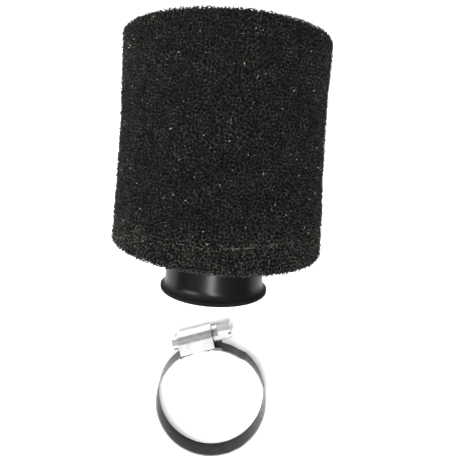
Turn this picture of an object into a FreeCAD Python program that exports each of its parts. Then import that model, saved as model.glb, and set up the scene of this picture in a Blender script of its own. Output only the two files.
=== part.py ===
"""Clamp-on foam air filter for a small engine, laid on its side, with its loose worm-drive hose clamp.

Frame: origin at the centre of the neck's mouth, +Y along the filter's axis from the neck into the foam,
+Z up.
The filter lies on its foam, and the clamp lies flat in front of the neck on the same surface.
"""
import FreeCAD, Part
import math
import os
import re

import Sketcher

Vector = FreeCAD.Vector
Rotation = FreeCAD.Rotation
Placement = FreeCAD.Placement

DIMENSIONS = {
    # rubber neck
    "neckBore": 38.0,
    "neckOuter": 44.0,
    "lipOuter": 48.0,
    "lipLength": 1.6,
    "lipFlare": 3.6,
    "lipRound": 0.7,
    "neckReach": 20.0,
    "neckFit": 0.05,
    "flangeOuter": 62.0,
    "flangeThick": 2.2,
    # foam
    "foamLength": 94.0,
    "foamEndOuter": 92.0,
    "foamWaistOuter": 89.2,
    "foamRound": 2.5,
    "sleeveInner": 65.2,
    "baseThick": 9.0,
    "plugThick": 12.5,
    "glueFilm": 0.4,
    "seamShy": 1.2,
    # coil spring that keeps the foam open
    "springWire": 1.6,
    "springMean": 62.6,
    "springTurns": 6.0,
    # hose clamp
    "bandInner": 58.1,
    "bandThick": 0.7,
    "bandWide": 9.0,
    "layerGap": 0.15,
    "jointGap": 0.04,
    "rightHinge": 30.0,
    "lowHinge": 275.0,
    "leftHinge": 160.0,
    "tongueEnd": 64.0,
    "innerLayerEnd": 111.0,
    "joggleStart": 44.0,
    "joggleEnd": 36.0,
    "slotPitch": 3.0,
    "slotWide": 1.3,
    "slotLong": 6.0,
    "slotCount": 14.0,
    "slotSlant": 8.0,
    "housingLong": 18.6,
    "housingWide": 11.6,
    "housingFoot": 28.6,
    "housingTop": 38.65,
    "housingRound": 4.4,
    "sheetThick": 0.75,
    "endPlate": 0.8,
    "channelTop": 30.35,
    "wormAxis": 33.75,
    "wormCore": 5.6,
    "wormCrest": 7.6,
    "wormPitch": 3.0,
    "threadLong": 13.6,
    "threadRoot": 1.8,
    "threadCrest": 0.8,
    "threadSink": 0.25,
    "shoulderReach": 8.0,
    "journal": 6.4,
    "journalHole": 6.6,
    "tipReach": 13.4,
    "tipRim": 4.4,
    "tipDimple": 1.1,
    "tipBevel": 0.6,
    "collarOuter": 8.4,
    "collarStart": 9.6,
    "headStart": 12.5,
    "headEnd": 19.8,
    "headFlats": 7.3,
    "headCorners": 8.46,
    "headBevel": 0.6,
    "driverSlot": 1.2,
    "driverDepth": 1.8,
    "saddleThick": 0.6,
    "saddleHalfAngle": 13.0,
    "tabLong": 6.0,
    "tabTop": 32.0,
    "tabThick": 0.4,
    # how far a cutting outline goes past the piece
    "overcut": 1.0,
    # where the clamp lies
    "clampX": 2.3,
    "clampY": -74.1,
    "clampTurn": 17.4,
}

ARCS_A_TURN = 6

doc = FreeCAD.newDocument("air_filter")
sheet = doc.addObject("Spreadsheet::Sheet", "Dimensions")


def fill_sheet():
    """Writes each driving dimension and its alias on a row of its own."""
    for row, (alias, value) in enumerate(DIMENSIONS.items(), start=1):
        sheet.set("A%d" % row, alias)
        sheet.set("B%d" % row, str(value))
        sheet.setAlias("B%d" % row, alias)
    doc.recompute()


def bound(text):
    """Turns an expression in plain aliases into one that names the sheet."""
    def name_sheet(word):
        return "Dimensions." + word.group() if word.group() in DIMENSIONS else word.group()

    return re.sub(r"[A-Za-z]\w*", name_sheet, text)


def size(text):
    """The value of an expression in the sheet's aliases."""
    return float(sheet.evalExpression(bound(text)))


def clamp_place(offset=Vector(0, 0, 0)):
    """The placement of a clamp piece, drawn about the ring's centre with the screw housing at +Y.

    The housing is wider than the band, so the ring leans until both touch the surface.
    """
    overhang = size("(housingWide - bandWide) / 2")
    ring_outer = size("bandInner / 2 + bandThick")
    lean = math.atan2(overhang, size("housingFoot") + ring_outer)
    drop = ring_outer * math.sin(lean) + size("bandWide / 2") * math.cos(lean)
    centre = Vector(size("clampX"), size("clampY"), drop - size("foamEndOuter / 2"))
    turn = Rotation(Vector(0, 0, 1), size("clampTurn")) * Rotation(Vector(1, 0, 0), math.degrees(lean))
    return Placement(centre, turn).multiply(Placement(offset, Rotation()))


def origin_plane(body, role):
    """The body's own origin plane with that role."""
    return next(item for item in body.Origin.OriginFeatures if item.Role == role)


def new_body(name):
    body = doc.addObject("PartDesign::Body", name)
    body.Label = name
    return body


def outline(body, role, corners, name="Outline"):
    """A closed sketch on one of the body's origin planes.

    corners lists (x, y) expressions. A third entry gives the radius of the arc to the next corner, which
    bulges to the left of that way if it is negative and to the right if it is positive.
    """
    sketch = body.newObject("Sketcher::SketchObject", name)
    sketch.AttachmentSupport = (origin_plane(body, role), "")
    sketch.MapMode = "FlatFace"
    spots = [Vector(size(corner[0]), size(corner[1]), 0) for corner in corners]
    count = len(corners)
    for index, corner in enumerate(corners):
        start = spots[index]
        end = spots[(index + 1) % count]
        if len(corner) == 2:
            sketch.addGeometry(Part.LineSegment(start, end), False)
        else:
            sketch.addGeometry(Part.Arc(start, arc_middle(start, end, size(corner[2])), end), False)
    starts = [start_of(sketch, index, spots[index]) for index in range(count)]
    for index in range(count):
        follower = (index + 1) % count
        end = 3 - starts[index]
        sketch.addConstraint(Sketcher.Constraint("Coincident", index, end, follower, starts[follower]))
    for index, corner in enumerate(corners):
        for kind, text in (("DistanceX", corner[0]), ("DistanceY", corner[1])):
            rule = Sketcher.Constraint(kind, -1, 1, index, starts[index], size(text))
            number = sketch.addConstraint(rule)
            sketch.setExpression("Constraints[%d]" % number, bound(text))
        if len(corner) == 3:
            number = sketch.addConstraint(Sketcher.Constraint("Radius", index, abs(size(corner[2]))))
            sketch.setExpression("Constraints[%d]" % number, "abs(%s)" % bound(corner[2]))
    return sketch


def arc_middle(start, end, radius):
    """The middle point of the arc from start to end with that signed radius."""
    chord = end - start
    side = Vector(chord.y, -chord.x, 0).normalize()
    rise = abs(radius) - math.sqrt(max(radius ** 2 - chord.Length ** 2 / 4, 0))
    return (start + end) * 0.5 + side * math.copysign(rise, radius)


def start_of(sketch, index, spot):
    """Which end of the sketch's edge lies on its first corner, 1 or 2. An arc may be stored reversed."""
    return 1 if sketch.getPoint(index, 1).distanceToPoint(spot) < 1e-6 else 2


def revolve(body, sketch, axis):
    feature = body.newObject("PartDesign::Revolution", "Turned")
    feature.Profile = sketch
    feature.ReferenceAxis = (sketch, [axis])
    feature.Angle = 360
    doc.recompute()
    return feature


def extrude(body, sketch, kind, length, symmetric=True):
    """A Pad or Pocket of the sketch, to both sides of its plane or to one."""
    before = body.Shape.Volume if kind == "Pocket" else 0.0
    feature = body.newObject("PartDesign::" + kind, kind)
    feature.Profile = sketch
    feature.setExpression("Length", bound(length))
    feature.SideType = "Symmetric" if symmetric else "One side"
    doc.recompute()
    if kind == "Pocket" and body.Shape.Volume > before - 1e-6:
        raise RuntimeError(body.Label + ": the pocket cuts nothing")
    return feature


# ---------------------------------------------------------------- filter

def rubber_neck():
    """Moulded neck: a tube that flares into a lip at the mouth and ends in a flange inside the foam."""
    body = new_body("rubber_neck")
    flare = "(lipFlare ^ 2 + ((lipOuter - neckOuter) / 2) ^ 2) / (lipOuter - neckOuter)"
    flange_start = "neckReach + baseThick + glueFilm"
    flange_end = flange_start + " + flangeThick"
    sketch = outline(body, "XY_Plane", [
        ("neckBore / 2", "0"),
        ("lipOuter / 2 - lipRound", "0", "lipRound"),
        ("lipOuter / 2", "lipRound"),
        ("lipOuter / 2", "lipLength", "-1 * " + flare),
        ("neckOuter / 2", "lipLength + lipFlare"),
        ("neckOuter / 2", flange_start),
        ("flangeOuter / 2", flange_start),
        ("flangeOuter / 2", flange_end),
        ("neckBore / 2", flange_end),
    ])
    revolve(body, sketch, "V_Axis")
    return body


def foam_base_ring():
    """Foam disc with the neck's hole, which closes the neck end."""
    body = new_body("foam_base_ring")
    sketch = outline(body, "XY_Plane", [
        ("neckOuter / 2 + neckFit", "neckReach"),
        ("foamEndOuter / 2 - foamRound", "neckReach", "foamRound"),
        ("foamEndOuter / 2", "neckReach + foamRound"),
        ("foamEndOuter / 2", "neckReach + baseThick"),
        ("neckOuter / 2 + neckFit", "neckReach + baseThick"),
    ])
    revolve(body, sketch, "V_Axis")
    return body


def foam_sleeve():
    """Foam sheet rolled into a slightly waisted tube, with the slit where its two edges are glued."""
    body = new_body("foam_sleeve")
    low = "neckReach + baseThick + glueFilm"
    high = "neckReach + foamLength"
    span = "(foamLength - baseThick - glueFilm - foamRound)"
    sag = "((foamEndOuter - foamWaistOuter) / 2)"
    waist = "(%s ^ 2 / 4 + %s ^ 2) / (2 * %s)" % (span, sag, sag)
    sketch = outline(body, "XY_Plane", [
        ("sleeveInner / 2", low),
        ("foamEndOuter / 2", low, "-1 * " + waist),
        ("foamEndOuter / 2", high + " - foamRound", "foamRound"),
        ("foamEndOuter / 2 - foamRound", high),
        ("sleeveInner / 2", high),
    ])
    revolve(body, sketch, "V_Axis")
    slit = outline(body, "YZ_Plane", slit_corners(), "Slit")
    extrude(body, slit, "Pocket", "glueFilm")
    return body


def slit_corners():
    """Outline of the glued joint in the sleeve's wall, seen from the side."""
    return [
        ("neckReach + baseThick + glueFilm", "-1 * foamWaistOuter / 2 + seamShy"),
        ("neckReach + foamLength", "-1 * foamWaistOuter / 2 + seamShy"),
        ("neckReach + foamLength", "-1 * sleeveInner / 2"),
        ("neckReach + baseThick + glueFilm", "-1 * sleeveInner / 2"),
    ]


def sleeve_seam_glue():
    """Glue in the sleeve's lengthways joint, on the side that the filter lies on."""
    body = new_body("sleeve_seam_glue")
    extrude(body, outline(body, "YZ_Plane", slit_corners()), "Pad", "glueFilm")
    return body


def foam_top_plug():
    """Foam disc set into the far end of the sleeve."""
    body = new_body("foam_top_plug")
    sketch = outline(body, "XY_Plane", [
        ("0", "neckReach + foamLength - plugThick"),
        ("sleeveInner / 2 - glueFilm", "neckReach + foamLength - plugThick"),
        ("sleeveInner / 2 - glueFilm", "neckReach + foamLength"),
        ("0", "neckReach + foamLength"),
    ])
    revolve(body, sketch, "V_Axis")
    return body


def glue_ring(name, inner, outer, low, high):
    """A thin turned film of glue between radii inner and outer, from low to high along the axis."""
    body = new_body(name)
    sketch = outline(body, "XY_Plane", [(inner, low), (outer, low), (outer, high), (inner, high)])
    revolve(body, sketch, "V_Axis")
    return body


def glue_films():
    base_top = "neckReach + baseThick"
    far_end = "neckReach + foamLength"
    base_glue_top = base_top + " + glueFilm"
    glue_ring("neck_flange_glue", "neckOuter / 2 + neckFit", "flangeOuter / 2", base_top, base_glue_top)
    glue_ring("base_ring_glue", "sleeveInner / 2", "foamEndOuter / 2 - seamShy", base_top, base_glue_top)
    glue_ring("top_plug_glue", "sleeveInner / 2 - glueFilm", "sleeveInner / 2",
              far_end + " - plugThick", far_end + " - seamShy")


def support_spring():
    """Wire coil between the flange and the plug, which stops the foam from being sucked in."""
    wire = size("springWire")
    low = size("neckReach + baseThick + glueFilm + flangeThick") + wire / 2
    high = size("neckReach + foamLength - plugThick") - wire / 2
    radius = size("springMean / 2")
    turns = size("springTurns")

    def on_helix(turn):
        angle = 2 * math.pi * turn
        return Vector(radius * math.cos(angle), radius * math.sin(angle), (high - low) * turn / turns)

    arcs = []
    for number in range(int(turns * ARCS_A_TURN)):
        ends = [on_helix((number + share) / ARCS_A_TURN) for share in (0, 0.5, 1)]
        arcs.append(Part.Arc(*ends).toShape())
    section = Part.Wire(Part.makeCircle(wire / 2, on_helix(0), arcs[0].tangentAt(arcs[0].FirstParameter)))
    spring = doc.addObject("Part::Feature", "support_spring")
    spring.Label = "support_spring"
    spring.Shape = Part.Wire(arcs).makePipeShell([section], True, False, 1)
    spring.Placement = Placement(Vector(0, low, 0), Rotation(Vector(1, 0, 0), -90))
    return spring


# ---------------------------------------------------------------- hose clamp

def cylinder(name, radius, height, sweep=None, turn=0.0):
    """A Part::Cylinder about the ring's axis, centred on the band, from turn degrees and sweep wide."""
    shape = doc.addObject("Part::Cylinder", name)
    shape.setExpression("Radius", bound(radius))
    shape.setExpression("Height", bound(height))
    if sweep:
        shape.setExpression("Angle", bound(sweep))
    shape.Placement = Placement(Vector(0, 0, -size(height) / 2), Rotation(Vector(0, 0, 1), turn))
    return shape


def cut(name, base, tool):
    result = doc.addObject("Part::Cut", name)
    result.Base = base
    result.Tool = tool
    return result


def fuse(name, shapes):
    result = doc.addObject("Part::MultiFuse", name)
    result.Shapes = shapes
    return result


def sector(name, inner, thick, wide, start, end):
    """A curved strip: the ring between two radii, from start to end degrees."""
    sweep = "(%s) - (%s)" % (end, start)
    turn = size(start)
    outside = cylinder(name + "_outside", "%s + %s" % (inner, thick), wide, sweep, turn)
    inside = cylinder(name + "_inside", inner, wide, sweep, turn)
    return cut(name, outside, inside)


def place_on_clamp(piece, name):
    piece.Label = name
    piece.Placement = clamp_place()
    return piece


def band_arc(name, start, end):
    """One curved stretch of the band, a hair short at its far end."""
    arc = sector(name, "bandInner / 2", "bandThick", "bandWide", start, end + " - jointGap")
    return place_on_clamp(arc, name)


def clamp_band_root():
    """The band's fixed end: it passes under the tongue, then steps out to the ring's own radius."""
    low = "bandInner / 2 - layerGap - bandThick"
    high = "bandInner / 2"
    body = new_body("clamp_band_root")

    def corner(radius, angle):
        return "(%s) * cos(%s * 1 deg)" % (radius, angle), "(%s) * sin(%s * 1 deg)" % (radius, angle)

    def arc(radius, angle, sign):
        return corner(radius, angle) + ("%s * (%s)" % (sign, radius),)

    end = "(rightHinge + jointGap)"
    sketch = outline(body, "XY_Plane", [
        arc(low + " + bandThick", "innerLayerEnd", "-1"),
        corner(low + " + bandThick", "joggleStart"),
        arc(high + " + bandThick", "joggleEnd", "-1"),
        corner(high + " + bandThick", end),
        arc(high, end, "1"),
        corner(high, "joggleEnd"),
        arc(low, "joggleStart", "1"),
        corner(low, "innerLayerEnd"),
    ])
    extrude(body, sketch, "Pad", "bandWide")
    body.Placement = clamp_place()
    return body


def clamp_band_tongue():
    """The band's free end, cut with the row of slanted slots that the worm drives."""
    strip = sector("tongue_strip", "bandInner / 2", "bandThick", "bandWide",
                   "tongueEnd", "leftHinge - jointGap")
    middle = size("bandInner / 2 + bandThick / 2")
    step = math.degrees(size("slotPitch") / middle)
    slots = []
    for number in range(int(size("slotCount"))):
        slot = doc.addObject("Part::Box", "slot")
        slot.setExpression("Length", bound("bandThick * 4"))
        slot.setExpression("Width", bound("slotWide"))
        slot.setExpression("Height", bound("slotLong"))
        centre = Vector(slot.Length.Value / 2, size("slotWide / 2"), size("slotLong / 2"))
        centred = Placement(centre.negative(), Rotation())
        slanted = Placement(Vector(middle, 0, 0), Rotation(Vector(1, 0, 0), size("slotSlant")))
        angle = size("tongueEnd") + (number + 1) * step
        turned = Placement(Vector(0, 0, 0), Rotation(Vector(0, 0, 1), angle))
        slot.Placement = turned.multiply(slanted).multiply(centred)
        slots.append(slot)
    return place_on_clamp(cut("clamp_band_tongue", strip, fuse("slots", slots)), "clamp_band_tongue")


def clamp_housing():
    """Folded steel sleeve over the worm, closed at both ends around the screw's journals."""
    body = new_body("clamp_housing")
    side = "housingWide / 2"
    outer = arch("housingFoot", "housingTop", side, "housingRound")
    extrude(body, outline(body, "YZ_Plane", outer), "Pad", "housingLong")
    open_foot = "housingFoot - overcut"
    inner = arch(open_foot, "housingTop - sheetThick", side + " - sheetThick", "housingRound - sheetThick")
    extrude(body, outline(body, "YZ_Plane", inner, "Inside"), "Pocket", "housingLong - 2 * endPlate")
    channel = [
        (open_foot, "-1 * (%s - sheetThick)" % side),
        ("channelTop", "-1 * (%s - sheetThick)" % side),
        ("channelTop", side + " - sheetThick"),
        (open_foot, side + " - sheetThick"),
    ]
    extrude(body, outline(body, "YZ_Plane", channel, "Channel"), "Pocket", "housingLong + 2 * overcut")
    hole = body.newObject("Sketcher::SketchObject", "JournalHole")
    hole.AttachmentSupport = (origin_plane(body, "YZ_Plane"), "")
    hole.MapMode = "FlatFace"
    circle = Part.Circle(Vector(size("wormAxis"), 0, 0), Vector(0, 0, 1), size("journalHole / 2"))
    hole.addGeometry(circle, False)
    hole.addConstraint(Sketcher.Constraint("DistanceX", -1, 1, 0, 3, size("wormAxis")))
    hole.addConstraint(Sketcher.Constraint("PointOnObject", 0, 3, -1))
    hole.addConstraint(Sketcher.Constraint("Radius", 0, size("journalHole / 2")))
    hole.setExpression("Constraints[0]", bound("wormAxis"))
    hole.setExpression("Constraints[2]", bound("journalHole / 2"))
    extrude(body, hole, "Pocket", "housingLong + 2 * overcut")
    body.Placement = clamp_place()
    return body


def arch(foot, top, side, rounding):
    """Outline of a flat-sided arch across the worm: (height, width) from its open foot to its top."""
    return [
        (foot, "-1 * (%s)" % side),
        ("%s - (%s)" % (top, rounding), "-1 * (%s)" % side, rounding),
        (top, "-1 * (%s) + (%s)" % (side, rounding)),
        (top, "(%s) - (%s)" % (side, rounding), rounding),
        ("%s - (%s)" % (top, rounding), side),
        (foot, side),
    ]


def clamp_saddle():
    """Curved plate under the band's fixed end, with a tab up each side that is welded inside the housing."""
    outer = "bandInner / 2 - layerGap - bandThick"
    wide = "housingWide - 2 * sheetThick"
    plate = sector("saddle_plate", "(%s) - saddleThick" % outer, "saddleThick", wide,
                   "90 - saddleHalfAngle", "90 + saddleHalfAngle")
    foot = "((%s) - saddleThick / 2)" % outer
    tabs = []
    for sign in (-1, 1):
        tab = doc.addObject("Part::Box", "saddle_tab")
        tab.setExpression("Length", bound("tabLong"))
        tab.setExpression("Width", bound("tabTop - " + foot))
        tab.setExpression("Height", bound("tabThick"))
        edge = sign * size("housingWide / 2 - sheetThick - tabThick / 2") - size("tabThick / 2")
        tab.Placement = Placement(Vector(-size("tabLong / 2"), size(foot), edge), Rotation())
        tabs.append(tab)
    return place_on_clamp(fuse("clamp_saddle", [plate] + tabs), "clamp_saddle")


def screw_shank(body):
    """Turned blank: dimpled tip, journals, the worm's core and the collar."""
    profile = [
        ("-1 * tipReach + tipDimple", "0"),
        ("-1 * tipReach", "tipRim / 2"),
        ("-1 * tipReach + tipBevel", "journal / 2"),
        ("-1 * shoulderReach", "journal / 2"),
        ("-1 * shoulderReach", "wormCore / 2"),
        ("shoulderReach", "wormCore / 2"),
        ("shoulderReach", "journal / 2"),
        ("collarStart", "journal / 2"),
        ("collarStart", "collarOuter / 2"),
        ("headStart", "collarOuter / 2"),
        ("headStart", "0"),
    ]
    revolve(body, outline(body, "XY_Plane", profile), "H_Axis")


def screw_head(body):
    """Hexagon head with a bevelled end and a driver slot."""
    corner = "headFlats / 2 / cos(30 deg)"
    corners = []
    for number in range(6):
        angle = "%d deg" % (60 * number)
        corners.append(("%s * cos(%s)" % (corner, angle), "%s * sin(%s)" % (corner, angle)))
    hexagon = outline(body, "YZ_Plane", corners, "Hexagon")
    hexagon.AttachmentOffset = Placement(Vector(0, 0, size("headStart")), Rotation())
    extrude(body, hexagon, "Pad", "headEnd - headStart", symmetric=False)
    ring = outline(body, "XY_Plane", [
        ("headEnd - headBevel", "headCorners / 2"),
        ("headEnd + headBevel", "headCorners / 2 - 2 * headBevel"),
        ("headEnd + headBevel", "headFlats"),
        ("headEnd - headBevel", "headFlats"),
    ], "BevelOutline")
    groove = body.newObject("PartDesign::Groove", "Bevel")
    groove.Profile = ring
    groove.ReferenceAxis = (ring, ["H_Axis"])
    groove.Angle = 360
    body.Tip = groove
    doc.recompute()
    slot = [
        ("headEnd - driverDepth", "-1 * driverSlot / 2"),
        ("headEnd + overcut", "-1 * driverSlot / 2"),
        ("headEnd + overcut", "driverSlot / 2"),
        ("headEnd - driverDepth", "driverSlot / 2"),
    ]
    extrude(body, outline(body, "XY_Plane", slot, "DriverSlot"), "Pocket", "collarOuter * 2")


def worm_thread():
    """The worm's single-start ridge, a trapezium swept along a helix about local X."""
    core = size("wormCore / 2 - threadSink")
    crest = size("wormCrest / 2")
    length = size("threadLong")
    root = size("threadRoot / 2")
    tip = size("threadCrest / 2")
    path = Part.Wire(Part.makeHelix(size("wormPitch"), length, core).Edges)
    corners = [Vector(core, 0, -root), Vector(crest, 0, -tip), Vector(crest, 0, tip), Vector(core, 0, root)]
    section = Part.makePolygon(corners + corners[:1])
    ridge = path.makePipeShell([section], True, True)
    thread = doc.addObject("Part::Feature", "worm_ridge")
    thread.Shape = Part.Solid(ridge) if ridge.ShapeType == "Shell" else ridge
    thread.Placement = Placement(Vector(-length / 2, 0, 0), Rotation(Vector(0, 1, 0), 90))
    return thread


def clamp_screw():
    """Worm screw along local X: shank, thread and head."""
    body = new_body("screw_blank")
    screw_shank(body)
    screw_head(body)
    screw = fuse("clamp_screw", [body, worm_thread()])
    screw.Label = "clamp_screw"
    screw.Placement = clamp_place(Vector(0, size("wormAxis"), 0))
    return screw


def build():
    """Makes every piece."""
    rubber_neck()
    foam_base_ring()
    foam_sleeve()
    foam_top_plug()
    sleeve_seam_glue()
    glue_films()
    support_spring()
    clamp_band_root()
    band_arc("clamp_band_right", "lowHinge - 360", "rightHinge")
    band_arc("clamp_band_left", "leftHinge", "lowHinge")
    clamp_band_tongue()
    clamp_housing()
    clamp_saddle()
    clamp_screw()
    doc.recompute()


PIECES = [
    "rubber_neck", "foam_base_ring", "foam_sleeve", "foam_top_plug", "sleeve_seam_glue", "neck_flange_glue",
    "base_ring_glue", "top_plug_glue", "support_spring", "clamp_band_root", "clamp_band_right",
    "clamp_band_left", "clamp_band_tongue", "clamp_housing", "clamp_saddle", "clamp_screw",
]


def check_and_write():
    """Stops on any failed object or bad shape, then writes one STEP file for each piece."""
    for item in doc.Objects:
        if "Invalid" in item.State or "Error" in item.State:
            raise RuntimeError("%s failed: %s" % (item.Label, item.State))
    os.makedirs("parts", exist_ok=True)
    for name in PIECES:
        piece = doc.getObjectsByLabel(name)[0]
        shape = piece.Shape
        if shape.isNull() or not shape.isValid():
            raise RuntimeError(name + " has no valid shape")
        shape.exportStep("parts/%s.step" % name)
        box = shape.optimalBoundingBox(True)
        print("%-20s %d solid(s) %10.1f mm3" % (name, len(shape.Solids), shape.Volume))
        print("    x %.1f..%.1f  y %.1f..%.1f  z %.2f..%.2f" % (
            box.XMin, box.XMax, box.YMin, box.YMax, box.ZMin, box.ZMax))


fill_sheet()
build()
check_and_write()
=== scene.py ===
import itertools
import math

import bpy
import numpy as np
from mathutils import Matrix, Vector


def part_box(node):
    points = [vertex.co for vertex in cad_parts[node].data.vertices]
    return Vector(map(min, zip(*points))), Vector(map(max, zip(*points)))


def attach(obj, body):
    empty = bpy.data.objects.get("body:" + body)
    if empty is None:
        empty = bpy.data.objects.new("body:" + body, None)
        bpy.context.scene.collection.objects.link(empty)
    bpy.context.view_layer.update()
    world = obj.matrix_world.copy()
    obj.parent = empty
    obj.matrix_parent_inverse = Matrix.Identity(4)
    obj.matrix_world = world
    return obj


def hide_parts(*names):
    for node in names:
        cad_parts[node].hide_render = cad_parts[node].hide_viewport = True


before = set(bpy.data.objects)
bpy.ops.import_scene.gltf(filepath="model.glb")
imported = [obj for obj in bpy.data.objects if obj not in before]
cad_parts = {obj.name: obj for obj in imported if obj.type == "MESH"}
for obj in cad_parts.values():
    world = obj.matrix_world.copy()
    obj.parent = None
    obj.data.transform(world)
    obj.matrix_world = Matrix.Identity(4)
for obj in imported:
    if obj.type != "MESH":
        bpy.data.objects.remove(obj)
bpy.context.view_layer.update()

MM = 0.001
rng = np.random.default_rng(38)

# Driving sizes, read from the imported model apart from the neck's outside.
base_low, base_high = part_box("foam_base_ring")
sleeve_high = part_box("foam_sleeve")[1]
plug_low, plug_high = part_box("foam_top_plug")
FLOOR = base_low.z
FOAM_RADIUS = base_high.x
PLUG_RADIUS = plug_high.x
NECK_RADIUS = 22.0 * MM
FOAM_MIDDLE = (base_low.y + sleeve_high.y) / 2

# ---------------------------------------------------------------- camera, floor and light

EYE_ABOVE_AXIS = 198 * MM
LEAN = math.radians(3.4)
SENSOR, LENS = 36.0, 33.4
SHIFT_X, SHIFT_Y = 0.0256, -0.197
ROOM = 0.14
OVERHEAD = 15.0
KEY = 6.0
FRONT = 1.5
REAR = 3.0
PANEL = 3.2
PLATED = ("clamp_housing", "clamp_saddle", "clamp_screw")
BAND = ("clamp_band_root", "clamp_band_right", "clamp_band_left", "clamp_band_tongue")


def make_camera():
    """Straight down on the flat lay, level with the foam's middle, so both ends of the foam bow outwards."""
    data = bpy.data.cameras.new("camera")
    data.sensor_width = SENSOR
    data.lens = LENS
    data.shift_x = SHIFT_X
    data.shift_y = SHIFT_Y
    data.clip_start = 0.01
    camera = bpy.data.objects.new("camera", data)
    bpy.context.scene.collection.objects.link(camera)
    camera.location = (0.0, FOAM_MIDDLE, EYE_ABOVE_AXIS)
    camera.rotation_euler = (0.0, 0.0, LEAN)
    bpy.context.scene.camera = camera


def area_light(name, place, target, width, depth, power):
    data = bpy.data.lights.new(name, "AREA")
    data.shape = "RECTANGLE"
    data.size = width
    data.size_y = depth
    data.energy = power
    lamp = bpy.data.objects.new(name, data)
    bpy.context.scene.collection.objects.link(lamp)
    lamp.location = place
    lamp.rotation_euler = (Vector(target) - Vector(place)).to_track_quat("-Z", "Y").to_euler()
    return lamp


def choose_lit(lamp, state, names):
    """Flags a lamp off the named CAD nodes (EXCLUDE), or keeps it to them (INCLUDE)."""
    group = bpy.data.collections.new(lamp.name + "_flags")
    for name in names:
        group.objects.link(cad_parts[name])
    lamp.light_linking.receiver_collection = group
    for item in group.collection_objects:
        item.light_linking.link_state = state


def make_stage():
    """A pale floor in a dim white room, under a long soft box, a key from the left and front and rear fills.

    The clamp is flagged off the soft box, which would burn it out, and has a wide dim panel instead.
    """
    mesh = bpy.data.meshes.new("floor")
    reach = 3.0
    corners = [(-reach, -reach), (reach, -reach), (reach, reach), (-reach, reach)]
    mesh.from_pydata([(x, y, FLOOR) for x, y in corners], [], [(0, 1, 2, 3)])
    floor = bpy.data.objects.new("floor", mesh)
    bpy.context.scene.collection.objects.link(floor)
    material = bpy.data.materials.new("pale_floor")
    material.use_nodes = True
    shader = material.node_tree.nodes["Principled BSDF"]
    shader.inputs["Base Color"].default_value = (0.93, 0.93, 0.93, 1)
    shader.inputs["Roughness"].default_value = 0.95
    shader.inputs["Specular IOR Level"].default_value = 0.05
    mesh.materials.append(material)

    world = bpy.data.worlds.new("studio")
    bpy.context.scene.world = world
    world.use_nodes = True
    world.node_tree.nodes["Background"].inputs["Color"].default_value = (1, 1, 1, 1)
    world.node_tree.nodes["Background"].inputs["Strength"].default_value = ROOM
    bpy.context.scene.view_settings.view_transform = "Standard"

    overhead = area_light("overhead", (-0.06, -0.22, 1.0), (0.0, 0.0, 0.0), 0.18, 0.9, OVERHEAD)
    choose_lit(overhead, "EXCLUDE", PLATED + BAND)
    panel = area_light("panel", (0.0, -0.75, 1.0), (0.0, -0.07, -0.04), 0.9, 0.7, PANEL)
    choose_lit(panel, "INCLUDE", PLATED + BAND)
    area_light("key", (-0.75, 0.15, 0.65), (0.0, 0.02, 0.0), 0.35, 0.5, KEY)
    area_light("front_fill", (0.05, -0.95, 0.35), (0.0, 0.0, 0.0), 0.7, 0.3, FRONT)
    area_light("rear_fill", (0.35, 0.9, 0.45), (0.0, 0.1, 0.0), 0.6, 0.4, REAR)


# ---------------------------------------------------------------- foam surface

CELL = 1.4 * MM            # pitch of the foam's cells
CORE = 0.65 * MM           # least depth of the dark core under the envelope
PIT = 0.8 * MM             # how much deeper it is at the middle of a cell
SHELL = 1.2 * MM           # depth of the net of struts
RAGGED = 0.8 * MM          # most that a strut's outer end falls short of the envelope
PROUD = 0.15 * MM          # how far it may stand past it
SHORTEST = 0.14 * MM       # shorter struts are left out
THINNEST, THICKEST = 0.1, 0.18  # radius of a strut's inner end, in mm
OUTER_SWELL = 1.75         # its outer end's radius against that
STRUT_POINTS = 6
SHADE_CAP = 0.66           # the lightest a strut is, short of a painted glint
PAINTED_GLINT_SHARE = 0.012             # share of struts given a painted glint, a far lighter colour
GRAIN = 0.62 * MM          # spacing of the core's points
AROUND = 464
PROBES = 5
NET_STRUTS = 24000         # most struts in one net, to stay under 200,000 faces
JITTER = 0.9               # how far a cell's centre strays from its lattice point's


def hashed(lattice, salt):
    """A fixed pseudo-random number from 0 to 1 for each whole-number lattice point."""
    n = (lattice[:, 0] * 73856093) ^ (lattice[:, 1] * 19349663) ^ (lattice[:, 2] * 83492791)
    n = n ^ (salt * 668265263)
    n = n & 0x7FFFFFFF
    n = ((n ^ (n >> 15)) * 0x2C1B3C6D) & 0x7FFFFFFF
    n = ((n ^ (n >> 12)) * 0x297A2D39) & 0x7FFFFFFF
    return ((n ^ (n >> 15)) & 0xFFFFFF) / float(0xFFFFFF)


def seeds(lattice):
    """The cell centre of each lattice point, in pitches."""
    jitter = np.stack([hashed(lattice, salt) for salt in (1, 2, 3)], axis=1)
    return lattice + 0.5 + (jitter - 0.5) * JITTER


def nearest_cells(points):
    """The lattice points of the three nearest cells, and the distances to them in pitches, nearest first."""
    scaled = points / CELL
    home = np.floor(scaled).astype(np.int64)
    gaps = np.full((len(points), 3), 9.0)
    found = np.zeros((len(points), 3, 3), np.int64)
    for offset in itertools.product((-1, 0, 1), repeat=3):
        lattice = home + np.array(offset)
        gap = np.linalg.norm(scaled - seeds(lattice), axis=1)
        place = (gap[:, None] >= gaps).sum(axis=1)
        for rank in (2, 1, 0):
            moved = place < rank
            gaps[moved, rank] = gaps[moved, rank - 1]
            found[moved, rank] = found[moved, rank - 1]
            here = place == rank
            gaps[here, rank] = gap[here]
            found[here, rank] = lattice[here]
    return found, gaps


def smooth(value, low, high):
    t = np.clip((value - low) / (high - low), 0, 1)
    return t * t * (3 - 2 * t)


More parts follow.
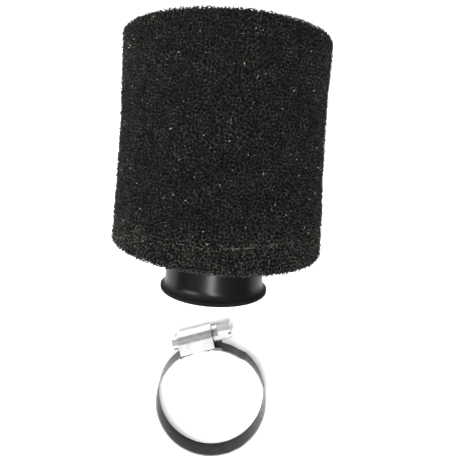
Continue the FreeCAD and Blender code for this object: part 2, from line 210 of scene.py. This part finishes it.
def wave(points, length, salt):
    """Smooth noise of about -1 to 1 with that wavelength, from a few fixed sines."""
    noise = np.zeros(len(points))
    source = np.random.default_rng(salt)
    for _ in range(7):
        way = source.normal(size=3)
        way *= 2 * math.pi / length / np.linalg.norm(way) * source.uniform(0.6, 1.5)
        noise += np.sin(points @ way + source.uniform(0, 6.3))
    return noise / 3.5


def core_drop(gaps):
    """How far the dark core under the struts lies below the envelope: deepest at the middle of each cell."""
    return CORE + PIT * smooth(gaps[:, 1] - gaps[:, 0], 0.05, 0.5)


def foam_struts(points, normals):
    """The open-cell net just under the envelope: the edges where three cells meet, cut off at the envelope.

    points are envelope points with their normals. Returns each strut's two ends, its direction, the height
    of its outer end against the envelope and its luck.
    """
    found = []
    for probe in range(PROBES):
        nudge = rng.uniform(-0.35, 0.35, points.shape) * MM * (probe > 0)
        sunk = rng.random((len(points), 1)) * SHELL * (probe > 0)
        found.append(nearest_cells(points + nudge - normals * sunk)[0])
    found = np.concatenate(found)
    points, normals = np.tile(points, (PROBES, 1)), np.tile(normals, (PROBES, 1))
    # One number for each trio of cells, whatever their order, to keep each edge once.
    order = found[:, :, 0] * 1000003 + found[:, :, 1] * 1009 + found[:, :, 2]
    order.sort(axis=1)
    key = (order[:, 0] * 31 + order[:, 1]) * 31 + order[:, 2]
    first = np.unique(key, return_index=True)[1]
    points, normals, found = points[first], normals[first], found[first]
    # The line that is equally far from the three cell centres: its middle and its direction.
    corner_a, corner_b, corner_c = [seeds(found[:, rank]) for rank in range(3)]
    way_b, way_c = corner_b - corner_a, corner_c - corner_a
    along = np.cross(way_b, way_c)
    area = (along ** 2).sum(axis=1)[:, None]
    length_b, length_c = (way_b ** 2).sum(axis=1)[:, None], (way_c ** 2).sum(axis=1)[:, None]
    to_centre = length_b * np.cross(way_c, along) + length_c * np.cross(along, way_b)
    centre = corner_a + to_centre / (2 * area)
    along /= np.sqrt(area)
    # The stretch of that line where no other cell is nearer.
    start, end = np.full(len(points), -9.0), np.full(len(points), 9.0)
    base = ((centre - corner_a) ** 2).sum(axis=1)
    home = found[:, 0]
    for offset in itertools.product((-2, -1, 0, 1, 2), repeat=3):
        lattice = home + np.array(offset)
        own = (lattice[:, None, :] == found).all(axis=2).any(axis=1)
        other = seeds(lattice)
        gap = ((centre - other) ** 2).sum(axis=1) - base
        slope = 2 * ((corner_a - other) * along).sum(axis=1)
        slope = np.where(np.abs(slope) < 1e-9, 1e-9, slope)
        limit = -gap / slope
        start = np.where(~own & (slope > 0), np.maximum(start, limit), start)
        end = np.where(~own & (slope < 0), np.minimum(end, limit), end)
    # Cut off at a ragged height by the envelope, and at the bottom of the shell.
    cut = RAGGED * rng.random(len(points)) ** 4 - PROUD
    height = ((centre * CELL - points) * normals).sum(axis=1) - cut
    rise = (along * normals).sum(axis=1) * CELL
    rise = np.where(np.abs(rise) < 1e-9, 1e-9, rise)
    top, bottom = -height / rise, (-SHELL - height) / rise
    start = np.maximum(start, np.minimum(top, bottom))
    end = np.minimum(end, np.maximum(top, bottom))
    kept = (end - start) * CELL > SHORTEST
    along, centre = along[kept], centre[kept] * CELL
    start, end = start[kept] * CELL, end[kept] * CELL
    height, rise = height[kept], rise[kept] / CELL
    flip = rise < 0
    along[flip] *= -1
    start[flip], end[flip] = -end[flip], -start[flip]
    top = height + np.abs(rise) * end
    luck = hashed(found[kept, 0], 7)
    return centre + along * start[:, None], centre + along * end[:, None], along, top, luck


def prisms(start, end, along, top, luck):
    """Three-sided struts from start to end, thickest at the end, which is the outer one.

    top is the height of each outer end against the envelope, and luck 0 to 1 sets how bright the strut is,
    at random.
    Painted light comes on top: painted shade on deep struts and inner ends, painted light towards the neck
    end, and a painted glint on a few.
    """
    count = len(start)
    side = np.cross(along, rng.normal(size=(count, 3)))
    side /= np.linalg.norm(side, axis=1)[:, None]
    other = np.cross(along, side)
    thick = rng.uniform(THINNEST, THICKEST, (count, 1)) * MM
    verts = []
    for middle, swelling in ((start, 1.0), (end, OUTER_SWELL)):
        for turn in (0, 2.1, 4.2):
            verts.append(middle + (side * math.cos(turn) + other * math.sin(turn)) * thick * swelling)
    cloud = np.stack(verts, axis=1).reshape(-1, 3)
    first = np.arange(count)[:, None] * STRUT_POINTS
    quads = [first + [[a, (a + 1) % 3, 3 + (a + 1) % 3, 3 + a]] for a in range(3)]
    ends = [first + [[2, 1, 0]], first + [[3, 4, 5]]]
    # Painted shade: a strut is coloured darker the deeper its outer end lies under the envelope.
    sunk = np.clip(-top / SHELL, 0, 1)
    shade = (0.3 + 0.3 * luck + rng.uniform(-0.05, 0.05, count)) * (1 - 0.8 * sunk)
    # Painted light: struts that end on the base ring, or on the sleeve up to 9 mm past the seam, are
    # coloured up to 30% lighter.
    shade = np.minimum(shade * (1 + 0.3 * (1 - smooth(end[:, 1], SEAM, SEAM + 9 * MM))), SHADE_CAP)
    # Painted glint: a few struts near the envelope get a near-white colour, as if catching the light.
    painted_glint = (rng.random(count) < PAINTED_GLINT_SHARE) & (sunk < 0.15)
    shade = np.where(painted_glint, rng.uniform(0.8, 1.0, count), shade)
    # Painted shade: each strut's inner end is half as light as its outer end.
    both = np.stack([shade * 0.5, shade], axis=1)
    return cloud, np.concatenate(quads), np.concatenate(ends), np.repeat(both.reshape(-1), 3)


def drop_buried(cloud, sides, ends, shade):
    """Takes out the struts that lie wholly under the floor, which would be pressed into flat faces."""
    above = (cloud[:, 2] > FLOOR).reshape(-1, STRUT_POINTS).any(axis=1)
    kept = np.repeat(above, STRUT_POINTS)
    place = np.cumsum(kept) - 1
    return cloud[kept], place[sides[np.tile(above, 3)]], place[ends[np.tile(above, 2)]], shade[kept]


def ring_points(profile, around):
    """Points and normals of a turned surface about Y. profile rows are radius, y, normal r, normal y."""
    turn = np.arange(around) * 2 * math.pi / around
    cos, sin = np.cos(turn), np.sin(turn)
    radius, along, out, up = [np.asarray(column)[:, None] for column in zip(*profile)]
    one = np.ones(around)
    points = np.stack([radius * cos, along * one, radius * sin], axis=2)
    normals = np.stack([out * cos, up * one, out * sin], axis=2)
    return points.reshape(-1, 3), normals.reshape(-1, 3)


def strip_quads(rings, around, first=0):
    """Quads between successive rings of the same count, facing away from the left of the profile."""
    row = np.arange(rings - 1)[:, None] * around
    here = np.arange(around)[None, :]
    following = (here + 1) % around
    corners = [row + here, row + following, row + around + following, row + around + here]
    return np.stack([c.reshape(-1) for c in corners], axis=1) + first


def halving_faces(fine_first, fine_count, coarse_first, flip=False):
    """Triangles between a ring and the next one, which has half its points."""
    i = np.arange(fine_count // 2)
    fine_a = fine_first + 2 * i
    fine_b = fine_a + 1
    fine_c = fine_first + (2 * i + 2) % fine_count
    coarse_a = coarse_first + i
    coarse_b = coarse_first + (i + 1) % (fine_count // 2)
    triangles = np.concatenate([
        np.stack([fine_a, fine_b, coarse_a], axis=1),
        np.stack([fine_b, coarse_b, coarse_a], axis=1),
        np.stack([fine_b, fine_c, coarse_b], axis=1),
    ])
    return triangles[:, ::-1] if flip else triangles


def mesh_object(name, points, quads, triangles, attributes, material):
    mesh = bpy.data.meshes.new(name)
    mesh.vertices.add(len(points))
    mesh.vertices.foreach_set("co", np.ascontiguousarray(points, np.float32).ravel())
    corners = np.concatenate([quads.ravel(), triangles.ravel()]).astype(np.int32)
    mesh.loops.add(len(corners))
    mesh.loops.foreach_set("vertex_index", corners)
    sizes = np.concatenate([np.full(len(quads), 4), np.full(len(triangles), 3)])
    mesh.polygons.add(len(sizes))
    mesh.polygons.foreach_set("loop_start", np.concatenate([[0], np.cumsum(sizes)[:-1]]).astype(np.int32))
    mesh.update(calc_edges=True)
    mesh.validate()
    mesh.polygons.foreach_set("use_smooth", np.ones(len(mesh.polygons), bool))
    for key, values in attributes.items():
        mesh.attributes.new(key, "FLOAT", "POINT").data.foreach_set("value", values.astype(np.float32))
    mesh.materials.append(material)
    piece = bpy.data.objects.new(name, mesh)
    bpy.context.scene.collection.objects.link(piece)
    return piece


def straight(start, end, step, normal):
    """Profile rows along a straight line from start to end, both (radius, y), without the end."""
    count = max(int(round(math.dist(start, end) / step)), 1)
    share = np.arange(count) / count
    return [(start[0] + (end[0] - start[0]) * s, start[1] + (end[1] - start[1]) * s, *normal) for s in share]


def corner(centre, radius, from_angle, to_angle, step):
    """Profile rows round an arc, without its end. Angle 0 points away from the axis, 90 degrees along +Y."""
    count = max(int(round(radius * abs(math.radians(to_angle - from_angle)) / step)), 2)
    rows = []
    for index in range(count):
        angle = math.radians(from_angle + (to_angle - from_angle) * index / count)
        rows.append((centre[0] + radius * math.cos(angle), centre[1] + radius * math.sin(angle),
                     math.cos(angle), math.sin(angle)))
    return rows


# ---------------------------------------------------------------- foam pieces

SEAM = base_high.y
FAR_END = sleeve_high.y
RIM = 2.6 * MM       # radius of the foam's rounded ends
PLUMP = 0.8 * MM     # how far the envelope stands past the CAD foam before the waist
WAIST = 1.35 * MM    # how deep the waist is cut
HALF_GLUE = 0.15 * MM
HAIR = 0.01 * MM     # tolerance for picking rows by their place


def waist(points):
    """The envelope's sideways offset: a soft waist, deeper on one side, and slow unevenness."""
    share = (points[:, 1] - base_low.y) / (FAR_END - base_low.y)
    bow = np.clip(1 - ((share - 0.46) / 0.56) ** 2, 0, None)
    return PLUMP - WAIST * bow + 0.15 * MM * wave(points, 26 * MM, 5)


def seam_wander(points):
    """How far along the axis the seam strays from its plane: a hand-cut slant and small waves."""
    turn = np.arctan2(points[:, 2], points[:, 0])
    return 2.4 * MM * points[:, 0] / FOAM_RADIUS + 0.28 * MM * (
        np.sin(3 * turn + 1) + np.sin(7 * turn) + 0.6 * np.sin(17 * turn + 2))


def far_end_wander(points):
    """The far end is cut a little full on top and shy at the sides."""
    return (1.3 * (points[:, 2] / FOAM_RADIUS) ** 2 - 0.7) * MM


def near_end_wander(points):
    """The neck end is full on top and on one side."""
    return -(1.3 * (points[:, 2] / FOAM_RADIUS) ** 2 - 0.2 + 1.2 * points[:, 0] / FOAM_RADIUS) * MM


def swell(points, envelope):
    """Moves turned points out to the envelope."""
    radius = np.maximum(np.hypot(points[:, 0], points[:, 2]), MM)
    grown = points.copy()
    grown[:, [0, 2]] *= (1 + envelope / radius)[:, None]
    return grown


def declare_foam(piece, node):
    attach(piece, "filter")
    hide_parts(node)


def foam_piece(name, rings, faces, amount, envelope_share, node, material):
    """Makes the core of one foam piece, dark with painted shade, and hangs the net of struts over it, in
    sectors about the axis.

    rings is (points, normals) and faces (quads, triangles). amount is 1 where the foam is open and 0 where
    it is hidden.
    """
    points, normals = rings
    quads, triangles = faces
    seam_gap = np.abs(points[:, 1] - SEAM - seam_wander(points))
    envelope = (waist(points) - 0.5 * MM * (1 - smooth(seam_gap, 0, 0.7 * MM))) * envelope_share
    outer = swell(points, envelope)
    drop = core_drop(nearest_cells(outer)[1]) * amount
    core = outer - normals * drop[:, None]
    core[:, 2] = np.maximum(core[:, 2], FLOOR)
    # Painted shade: the core is coloured darker the deeper it lies below the envelope, so the pores read as
    # shaded.
    shade = 0.12 * (1 - np.clip((drop - CORE) / PIT, 0, 1))
    declare_foam(mesh_object(name + "_skin", core, quads, triangles, {"shade": shade}, material), node)
    open_spots = amount > 0.9
    struts = foam_struts(outer[open_spots], normals[open_spots])
    sector = np.argsort(np.arctan2(struts[0][:, 2], struts[0][:, 0]))
    sectors = np.array_split(sector, math.ceil(len(sector) / NET_STRUTS))
    for number, chosen in enumerate(sectors, start=1):
        cloud, sides, ends, shade = drop_buried(*prisms(*[column[chosen] for column in struts]))
        cloud[:, 2] = np.maximum(cloud[:, 2], FLOOR)
        net = mesh_object("%s_net_%d" % (name, number), cloud, sides, ends, {"shade": shade}, material)
        declare_foam(net, node)
    print(name, "core points", len(core), "nets", len(sectors))


def turned_loop(fine_rows, coarse_rows):
    """A closed turned form: fine rows at full count, coarse rows at half, joined at both ends."""
    fine_points, fine_normals = ring_points(fine_rows, AROUND)
    coarse_points, coarse_normals = ring_points(coarse_rows, AROUND // 2)
    first = len(fine_points)
    quads = np.concatenate([
        strip_quads(len(fine_rows), AROUND),
        strip_quads(len(coarse_rows), AROUND // 2, first),
    ])
    last_fine = (len(fine_rows) - 1) * AROUND
    last_coarse = first + (len(coarse_rows) - 1) * (AROUND // 2)
    triangles = np.concatenate([
        halving_faces(last_fine, AROUND, first),
        halving_faces(0, AROUND, last_coarse, flip=True),
    ])
    rings = np.concatenate([fine_points, coarse_points]), np.concatenate([fine_normals, coarse_normals])
    return rings, (quads[:, ::-1], triangles[:, ::-1])


def make_sleeve(material):
    """The rolled sheet: porous outside, far end and inside, flat where it is glued to the base ring."""
    inner = PLUG_RADIUS + 0.25 * MM
    start = SEAM + HALF_GLUE
    outer_rows = straight((FOAM_RADIUS, start), (FOAM_RADIUS, FAR_END - RIM), GRAIN, (1, 0))
    outer_rows += corner((FOAM_RADIUS - RIM, FAR_END - RIM), RIM, 0, 90, GRAIN)
    outer_rows += straight((FOAM_RADIUS - RIM, FAR_END), (inner, FAR_END), GRAIN, (0, 1))
    coarse_rows = straight((inner, FAR_END - 0.4 * MM), (inner, start), 2.2 * GRAIN, (-1, 0))
    coarse_rows += straight((inner, start), (FOAM_RADIUS, start), 3 * MM, (0, -1))
    rings, faces = turned_loop(outer_rows, coarse_rows)
    points = rings[0]
    radius = np.hypot(points[:, 0], points[:, 2])
    amount = np.ones(len(points))
    amount[(points[:, 1] < start + HAIR) & (radius < FOAM_RADIUS - HAIR)] = 0
    amount[radius < inner + HAIR] *= 0.7
    share = smooth(radius, inner, FOAM_RADIUS)
    near_seam = 1 - smooth(points[:, 1], start, start + 16 * MM)
    near_end = smooth(points[:, 1], FAR_END - 22 * MM, FAR_END)
    points[:, 1] += (seam_wander(points) * near_seam + far_end_wander(points) * near_end) * share
    foam_piece("foam_sleeve", rings, faces, amount, share, "foam_sleeve", material)


def make_base_ring(material):
    """The glued-on disc at the neck end: porous side and face, with a rounded lower rim."""
    top = SEAM - HALF_GLUE
    low = base_low.y
    fine_rows = straight((40 * MM, low), (FOAM_RADIUS - RIM, low), GRAIN, (0, -1))
    fine_rows += corner((FOAM_RADIUS - RIM, low + RIM), RIM, -90, 0, GRAIN)
    fine_rows += straight((FOAM_RADIUS, low + RIM), (FOAM_RADIUS, top), GRAIN, (1, 0))
    coarse_rows = straight((FOAM_RADIUS, top), (NECK_RADIUS, top), 3 * MM, (0, 1))
    coarse_rows += straight((NECK_RADIUS, top), (NECK_RADIUS, low), 2 * MM, (-1, 0))
    coarse_rows += straight((NECK_RADIUS, low), (40 * MM, low), GRAIN, (0, -1))
    rings, faces = turned_loop(fine_rows, coarse_rows)
    points = rings[0]
    radius = np.hypot(points[:, 0], points[:, 2])
    hidden = (points[:, 1] > top - HAIR) | (radius < NECK_RADIUS + HAIR)
    amount = np.where(hidden, 0.0, 1.0)
    share = smooth(radius, NECK_RADIUS, FOAM_RADIUS - 4 * MM)
    near_seam = smooth(points[:, 1], top - 6 * MM, top)
    near_end = 1 - smooth(points[:, 1], low, low + 7 * MM)
    points[:, 1] += (seam_wander(points) * near_seam + near_end_wander(points) * near_end) * share
    foam_piece("foam_base", rings, faces, amount, share, "foam_base_ring", material)


def disc_grid(side, radius, along):
    """Points of a disc from a square grid, evenly spread, and the order of its rim."""
    line = np.linspace(-1, 1, side)
    a, b = np.meshgrid(line, line, indexing="ij")
    wide = np.abs(a) >= np.abs(b)
    safe_a, safe_b = np.where(a == 0, 1, a), np.where(b == 0, 1, b)
    reach = np.where(wide, a, b)
    turn = np.where(wide, (math.pi / 4) * b / safe_a, math.pi / 2 - (math.pi / 4) * a / safe_b)
    turn = np.where((a == 0) & (b == 0), 0, turn)
    across, over = reach * np.cos(turn) * radius, reach * np.sin(turn) * radius
    points = np.stack([across, np.full(a.shape, along), over], axis=2)
    index = np.arange(side * side).reshape(side, side)
    corners = [index[:-1, :-1], index[1:, :-1], index[1:, 1:], index[:-1, 1:]]
    quads = np.stack(corners, axis=2).reshape(-1, 4)
    rim = np.concatenate([index[:-1, 0], index[-1, :-1], index[:0:-1, -1], index[0, :0:-1]])
    return points.reshape(-1, 3), quads, rim


def make_plug(material):
    """The disc set into the far end: both faces porous, its hidden side plain."""
    side = 151
    radius = PLUG_RADIUS
    top, quads, rim = disc_grid(side, radius, FAR_END - 0.1 * MM)
    bottom = top.copy()
    bottom[:, 1] = plug_low.y
    count = len(top)
    following = np.roll(rim, -1)
    wall = np.stack([rim, following, following + count, rim + count], axis=1)
    points = np.concatenate([top, bottom])
    normals = np.zeros_like(points)
    normals[:count, 1] = 1
    normals[count:, 1] = -1
    faces = np.concatenate([quads[:, ::-1], quads + count, wall]), np.zeros((0, 3), int)
    edge = smooth(radius - np.hypot(points[:, 0], points[:, 2]), 0, 0.6 * MM)
    still = np.zeros(len(points))
    foam_piece("foam_plug", (points, normals), faces, edge, still, "foam_top_plug", material)


def make_seam_beads(material):
    """Small beads of cement squeezed out along the foam's seam, with a cluster of them near the top."""
    scattered, clustered = 150, 110
    count = scattered + clustered
    angle = np.concatenate([
        rng.uniform(0, 2 * math.pi, scattered),
        rng.normal(math.pi / 2 - 0.15, 0.3, clustered),
    ])
    out = np.stack([np.cos(angle), np.zeros(count), np.sin(angle)], axis=1)
    middle = out * FOAM_RADIUS
    middle[:, 1] = SEAM + seam_wander(middle) + rng.normal(0, 0.35 * MM, count)
    middle += out * (waist(middle) - 0.25 * MM)[:, None]
    along = np.stack([-out[:, 2], np.zeros(count), out[:, 0]], axis=1)
    size = rng.uniform(0.10, 0.24, (count, 1)) * MM
    length = size * rng.uniform(1.0, 3.2, (count, 1))
    up = np.array([[0.0, 1.0, 0.0]])
    verts = [middle + along * length, middle - along * length, middle + up * size, middle - up * size,
             middle + out * size, middle - out * size]
    cloud = np.stack(verts, axis=1).reshape(-1, 3)
    first = np.arange(count)[:, None] * 6
    sides = [(4, 2, 0), (4, 1, 2), (4, 3, 1), (4, 0, 3), (5, 0, 2), (5, 2, 1), (5, 1, 3), (5, 3, 0)]
    triangles = np.concatenate([first + [side] for side in sides])
    piece = mesh_object("seam_beads", cloud, np.zeros((0, 4), np.int64), triangles, {}, material)
    soft = piece.modifiers.new("rounded", "SUBSURF")
    soft.levels = soft.render_levels = 1
    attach(piece, "filter")


# ---------------------------------------------------------------- materials

def new_material(name, roughness, metallic=0.0):
    material = bpy.data.materials.new(name)
    material.use_nodes = True
    shader = material.node_tree.nodes["Principled BSDF"]
    shader.inputs["Roughness"].default_value = roughness
    shader.inputs["Metallic"].default_value = metallic
    return material, material.node_tree, shader


def ramp(tree, source, stops):
    """A colour ramp fed by source. stops are (position, grey or colour)."""
    node = tree.nodes.new("ShaderNodeValToRGB")
    elements = node.color_ramp.elements
    while len(elements) < len(stops):
        elements.new(0.5)
    for element, (place, colour) in zip(elements, stops):
        element.position = place
        element.color = (*colour, 1) if isinstance(colour, tuple) else (colour, colour, colour, 1)
    tree.links.new(source, node.inputs["Fac"])
    return node.outputs["Color"]


def noise(tree, scale, detail=2.0, stretch=(1, 1, 1)):
    place = tree.nodes.new("ShaderNodeTexCoord")
    mapping = tree.nodes.new("ShaderNodeMapping")
    mapping.inputs["Scale"].default_value = stretch
    texture = tree.nodes.new("ShaderNodeTexNoise")
    texture.inputs["Scale"].default_value = scale
    texture.inputs["Detail"].default_value = detail
    tree.links.new(place.outputs["Object"], mapping.inputs["Vector"])
    tree.links.new(mapping.outputs["Vector"], texture.inputs["Vector"])
    return texture.outputs["Fac"]


def mix_colour(tree, share, first, second, mode="MIX"):
    node = tree.nodes.new("ShaderNodeMix")
    node.data_type = "RGBA"
    node.blend_type = mode
    if isinstance(share, float):
        node.inputs["Factor"].default_value = share
    else:
        tree.links.new(share, node.inputs["Factor"])
    tree.links.new(first, node.inputs["A"])
    tree.links.new(second, node.inputs["B"])
    return node.outputs["Result"]


def bump(tree, shader, height, strength, distance):
    node = tree.nodes.new("ShaderNodeBump")
    node.inputs["Strength"].default_value = strength
    node.inputs["Distance"].default_value = distance
    tree.links.new(height, node.inputs["Height"])
    tree.links.new(node.outputs["Normal"], shader.inputs["Normal"])


def foam_look():
    """Black open-cell foam: pores darkened by painted shade, lighter struts, and now and then one with a
    painted glint.
    """
    material, tree, shader = new_material("open_cell_foam", 0.5)
    shader.inputs["Specular IOR Level"].default_value = 0.15
    shade = tree.nodes.new("ShaderNodeAttribute")
    shade.attribute_name = "shade"
    # The stored tone runs from painted shade in the pores at 0, through the struts' own tone, to a painted
    # glint at 1.
    tone_with_painted_light = ramp(tree, shade.outputs["Fac"], [
        (0.0, (0.0022, 0.0022, 0.0020)), (0.2, (0.010, 0.010, 0.009)), (0.4, (0.032, 0.032, 0.029)),
        (0.64, (0.09, 0.09, 0.082)), (1.0, (0.60, 0.60, 0.55)),
    ])
    patches = ramp(tree, noise(tree, 160, 3), [(0.3, 0.6), (0.7, 1.0)])
    tree.links.new(mix_colour(tree, 1.0, tone_with_painted_light, patches, "MULTIPLY"), shader.inputs["Base Color"])
    gloss = ramp(tree, shade.outputs["Fac"], [(0.1, 1.0), (0.35, 0.85), (0.6, 0.6), (1.0, 0.25)])
    tree.links.new(gloss, shader.inputs["Roughness"])
    return material


def rubber_look():
    """Moulded black rubber, satin and duller at the lip, with a faint cloud of dust and a fine grain."""
    material, tree, shader = new_material("moulded_rubber", 0.3)
    shader.inputs["Specular IOR Level"].default_value = 0.2
    clouds = noise(tree, 55, 4)
    tone = ramp(tree, clouds, [(0.35, (0.004, 0.004, 0.004)), (0.7, (0.009, 0.009, 0.0085))])
    tree.links.new(tone, shader.inputs["Base Color"])
    place = tree.nodes.new("ShaderNodeTexCoord")
    split = tree.nodes.new("ShaderNodeSeparateXYZ")
    tree.links.new(place.outputs["Object"], split.inputs["Vector"])
    along = tree.nodes.new("ShaderNodeMapRange")
    along.inputs["From Max"].default_value = 5 * MM
    tree.links.new(split.outputs["Y"], along.inputs["Value"])
    lip = ramp(tree, along.outputs["Result"], [(0.3, 0.62), (0.8, 0.0)])
    satin = ramp(tree, clouds, [(0.3, 0.27), (0.7, 0.36)])
    tree.links.new(mix_colour(tree, 1.0, satin, lip, "ADD"), shader.inputs["Roughness"])
    bump(tree, shader, noise(tree, 2600, 2), 0.12, 0.0001)
    return material


def plated_look():
    """Bright zinc plate on folded sheet and on the screw: fine rolling lines, a few duller patches."""
    material, tree, shader = new_material("bright_plate", 0.2, 0.6)
    clouds = noise(tree, 160, 4)
    tone = ramp(tree, clouds, [(0.3, (0.80, 0.80, 0.79)), (0.7, (0.93, 0.93, 0.92))])
    tree.links.new(tone, shader.inputs["Base Color"])
    tree.links.new(ramp(tree, noise(tree, 420, 3), [(0.3, 0.24), (0.7, 0.36)]), shader.inputs["Roughness"])
    bump(tree, shader, noise(tree, 900, 3, (1, 1, 6)), 0.04, 0.0001)
    return material


def band_look():
    """Rolled spring strip with fine lines along it, coloured by the way each face points: painted shade on
    the broad faces and a painted highlight on the sheared edges.
    """
    material, tree, shader = new_material("rolled_band", 0.3, 1.0)
    normal = tree.nodes.new("ShaderNodeTexCoord")
    split = tree.nodes.new("ShaderNodeSeparateXYZ")
    tree.links.new(normal.outputs["Normal"], split.inputs["Vector"])
    size_of = tree.nodes.new("ShaderNodeMath")
    size_of.operation = "ABSOLUTE"
    tree.links.new(split.outputs["Z"], size_of.inputs[0])
    # Painted light: faces whose normal points up or down get the light colour as a painted highlight, faces
    # that point sideways the dark colour as painted shade.
    edge = ramp(tree, size_of.outputs["Value"], [(0.55, 0.0), (0.8, 1.0)])
    lines = noise(tree, 260, 4, (1, 1, 9))
    broad = ramp(tree, lines, [(0.3, (0.015, 0.015, 0.014)), (0.7, (0.042, 0.042, 0.040))])
    bright = ramp(tree, lines, [(0.3, (0.22, 0.22, 0.21)), (0.7, (0.36, 0.36, 0.35))])
    tree.links.new(mix_colour(tree, edge, broad, bright), shader.inputs["Base Color"])
    tree.links.new(ramp(tree, noise(tree, 600, 3), [(0.3, 0.26), (0.7, 0.42)]), shader.inputs["Roughness"])
    bump(tree, shader, noise(tree, 1200, 3, (1, 1, 8)), 0.1, 0.0001)
    return material


def spring_look():
    """Drawn steel wire with a thin dull film."""
    material, tree, shader = new_material("drawn_wire", 0.32, 1.0)
    tone = ramp(tree, noise(tree, 220, 4), [(0.3, (0.36, 0.36, 0.35)), (0.7, (0.55, 0.55, 0.53))])
    tree.links.new(tone, shader.inputs["Base Color"])
    tree.links.new(ramp(tree, noise(tree, 700, 2), [(0.3, 0.25), (0.7, 0.45)]), shader.inputs["Roughness"])
    bump(tree, shader, noise(tree, 1500, 2), 0.1, 0.0001)
    return material


def glue_look():
    """Cured contact cement, dark and a little glossy, its tone varying at random up to a light grey that is
    a painted highlight.
    """
    material, tree, shader = new_material("contact_cement", 0.3)
    # Painted highlight: the light end of this tone makes the seam beads read as specks of light.
    tone = ramp(tree, noise(tree, 700, 3), [(0.4, (0.06, 0.06, 0.054)), (0.65, (0.26, 0.255, 0.23))])
    tree.links.new(tone, shader.inputs["Base Color"])
    tree.links.new(ramp(tree, noise(tree, 500, 2), [(0.3, 0.2), (0.7, 0.5)]), shader.inputs["Roughness"])
    bump(tree, shader, noise(tree, 900, 3), 0.3, 0.0002)
    return material


def dress(material, *names):
    """Gives CAD nodes that stay in view a finished material."""
    for name in names:
        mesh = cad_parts[name].data
        mesh.materials.clear()
        mesh.materials.append(material)


# ---------------------------------------------------------------- run

make_camera()
make_stage()
foam = foam_look()
make_sleeve(foam)
make_base_ring(foam)
make_plug(foam)
dress(rubber_look(), "rubber_neck")
dress(plated_look(), *PLATED)
dress(band_look(), *BAND)
dress(spring_look(), "support_spring")
cement = glue_look()
dress(cement, "sleeve_seam_glue", "neck_flange_glue", "base_ring_glue", "top_plug_glue")
make_seam_beads(cement)
